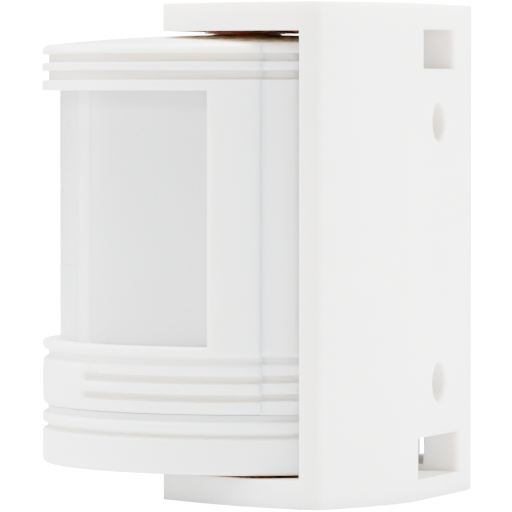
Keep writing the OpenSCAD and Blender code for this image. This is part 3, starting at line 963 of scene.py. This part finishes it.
def board_green():
    """Circuit board: solder mask with raised tracks and tinned pads."""
    material, nodes, links, shader = new_material("board_laminate")
    place = nodes.new("ShaderNodeTexCoord")
    tracks = nodes.new("ShaderNodeTexWave")
    tracks.wave_type = "BANDS"
    tracks.bands_direction = "DIAGONAL"
    tracks.wave_profile = "SIN"
    tracks.inputs["Scale"].default_value = 150
    tracks.inputs["Distortion"].default_value = 2.0
    tracks.inputs["Detail"].default_value = 0.0
    links.new(place.outputs["Object"], tracks.inputs["Vector"])
    mask = math_node(nodes, links, "GREATER_THAN", noise(nodes, links, 0.006, 0.0), 0.5)
    line = math_node(nodes, links, "GREATER_THAN", tracks.outputs["Fac"], 0.72)
    track = math_node(nodes, links, "MULTIPLY", line, mask)
    green = colours(nodes, links, track, (0.008, 0.085, 0.032), (0.018, 0.17, 0.06), 0.0, 1.0)
    dots = nodes.new("ShaderNodeTexVoronoi")
    dots.inputs["Scale"].default_value = 330
    links.new(place.outputs["Object"], dots.inputs["Vector"])
    pad = math_node(nodes, links, "LESS_THAN", dots.outputs["Distance"], 0.16)
    mix = nodes.new("ShaderNodeMix")
    mix.data_type = "RGBA"
    links.new(pad, mix.inputs["Factor"])
    links.new(green, mix.inputs["A"])
    mix.inputs["B"].default_value = (0.62, 0.62, 0.6, 1)
    links.new(mix.outputs["Result"], shader.inputs["Base Color"])
    links.new(pad, shader.inputs["Metallic"])
    links.new(spread(nodes, links, noise(nodes, links, 0.001), 0.25, 0.38), shader.inputs["Roughness"])
    bump(nodes, links, shader, math_node(nodes, links, "ADD", track, pad), 0.00002, 0.6)
    return material


def cell_sleeve(name, z, positive):
    """Printed sleeve with a coloured band at the positive end and bare steel end discs."""
    material, nodes, links, shader = new_material(name)
    place = nodes.new("ShaderNodeTexCoord")
    split = nodes.new("ShaderNodeSeparateXYZ")
    links.new(place.outputs["Object"], split.inputs["Vector"])
    y = math_node(nodes, links, "POWER", math_node(nodes, links, "SUBTRACT", split.outputs["Y"], CELL_Y), 2.0)
    up = math_node(nodes, links, "POWER", math_node(nodes, links, "SUBTRACT", split.outputs["Z"], z), 2.0)
    away = math_node(nodes, links, "SQRT", math_node(nodes, links, "ADD", y, up))
    steel = math_node(nodes, links, "LESS_THAN", away, 0.0047)
    along = math_node(nodes, links, "MULTIPLY", split.outputs["X"], positive)
    band = math_node(nodes, links, "GREATER_THAN", along, 0.0115)
    sleeve = colours(nodes, links, band, (0.02, 0.06, 0.17), (0.62, 0.30, 0.10), 0.0, 1.0)
    ends = colours(nodes, links, noise(nodes, links, 0.001), (0.55, 0.55, 0.54), (0.68, 0.68, 0.66))
    mix = nodes.new("ShaderNodeMix")
    mix.data_type = "RGBA"
    links.new(steel, mix.inputs["Factor"])
    links.new(sleeve, mix.inputs["A"])
    links.new(ends, mix.inputs["B"])
    links.new(mix.outputs["Result"], shader.inputs["Base Color"])
    links.new(steel, shader.inputs["Metallic"])
    links.new(spread(nodes, links, noise(nodes, links, 0.0008), 0.18, 0.30), shader.inputs["Roughness"])
    bump(nodes, links, shader, noise(nodes, links, 0.0006), 0.000005)
    return material


SHELL_TONES = ((0.775, 0.768, 0.755), (0.805, 0.798, 0.785))
# Painted shade for the white shells: the warm dark colour multiplied in where the surface is closed in, and how
# far the closing-in is sensed.
CREVICE_SHADE = (0.82, 0.66, 0.50)
CREVICE_SHADE_REACH = 0.0035
PLASTIC_DEPTH = (0.0050, 0.0034, 0.0022)
SHELL_SHARE = 0.6
WHITE = moulded("white_shell", *SHELL_TONES, depth_share=SHELL_SHARE, shade_tint=CREVICE_SHADE)
BRACKET_WHITE = moulded("white_bracket", *SHELL_TONES, (0.38, 0.5), 0.0002, 0.000006, SHELL_SHARE, CREVICE_SHADE)
INNER_WHITE = moulded("inner_white", (0.74, 0.74, 0.72), (0.8, 0.8, 0.78), (0.5, 0.6))
BLACK = moulded("black_plastic", (0.012, 0.012, 0.013), (0.022, 0.022, 0.024), (0.4, 0.55))
BOARD = board_green()
STEEL = metal("zinc_steel", (0.55, 0.55, 0.56), (0.68, 0.68, 0.68))
NICKEL = metal("nickel_contact", (0.62, 0.6, 0.56), (0.72, 0.7, 0.66))
CAN = metal("can_metal", (0.6, 0.6, 0.58), (0.74, 0.74, 0.72), (0.12, 0.22))
GOLD = metal("gold_lead", (0.75, 0.5, 0.18), (0.85, 0.6, 0.25))
COPPER = metal("copper_wire", (0.5, 0.16, 0.05), (0.62, 0.22, 0.08))
FILTER = moulded("sensor_filter", (0.01, 0.009, 0.014), (0.02, 0.018, 0.028), (0.08, 0.14))
LED = moulded("led_resin", (0.5, 0.03, 0.02), (0.6, 0.05, 0.03), (0.1, 0.2))
CDS = moulded("light_cell", (0.35, 0.1, 0.03), (0.45, 0.16, 0.05), (0.2, 0.3))
SLEEVE = moulded("cap_sleeve", (0.004, 0.008, 0.04), (0.008, 0.014, 0.07), (0.2, 0.3))
WRAP_UPPER = cell_sleeve("cell_wrap_upper", CELL_Z[1], 1.0)
WRAP_LOWER = cell_sleeve("cell_wrap_lower", CELL_Z[0], -1.0)
DIAL_BLUE = moulded("dial_body", (0.01, 0.05, 0.3), (0.015, 0.07, 0.38), (0.3, 0.4))
GREY = moulded("button_grey", (0.09, 0.09, 0.095), (0.12, 0.12, 0.125), (0.45, 0.55))
LENS = lens_milk()

NODE_FINISH = {
    "lens_retainer": INNER_WHITE, "base_plate": INNER_WHITE, "battery_cradle": INNER_WHITE,
    "time_dial": INNER_WHITE, "light_dial": INNER_WHITE,
    "base_screws": STEEL, "board_screws": STEEL,
    "cell_plates": NICKEL, "cell_bridge": NICKEL,
    "main_board": BOARD, "control_board": BOARD, "radio_module": BOARD,
    "sensor_can": CAN, "radio_crystal": CAN, "mode_switch": CAN,
    "sensor_window": FILTER, "sensor_leads": GOLD, "header_pins": GOLD,
    "sensor_shroud": BLACK, "controller_chip": BLACK, "header_bar": BLACK, "learn_switch": BLACK,
    "mode_slider": BLACK, "status_led": LED, "light_sensor": CDS, "supply_capacitor": SLEEVE,
    "cell_upper": WRAP_UPPER, "cell_lower": WRAP_LOWER, "dial_bases": DIAL_BLUE, "learn_button": GREY,
}


def finish_node(name, material):
    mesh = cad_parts[name].data
    mesh.materials.clear()
    mesh.materials.append(material)


def place_piece(piece, node, body, material):
    piece.data.materials.clear()
    piece.data.materials.append(material)
    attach(piece, body)
    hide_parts(node)


make_camera()
make_lights()
make_floor()
for node_name, node_material in NODE_FINISH.items():
    finish_node(node_name, node_material)
place_piece(make_bracket(), "bracket", "bracket", BRACKET_WHITE)
place_piece(make_front_housing(), "front_housing", "head", WHITE)
place_piece(make_rear_cover(), "rear_cover", "head", WHITE)
place_piece(make_bottom_cap(), "bottom_cap", "cap", WHITE)
place_piece(make_lens(), "lens", "head", LENS)
place_piece(make_antenna(), "antenna_coil", "head", COPPER)
place_piece(make_cell_springs(), "cell_springs", "head", NICKEL)

deselect_all()
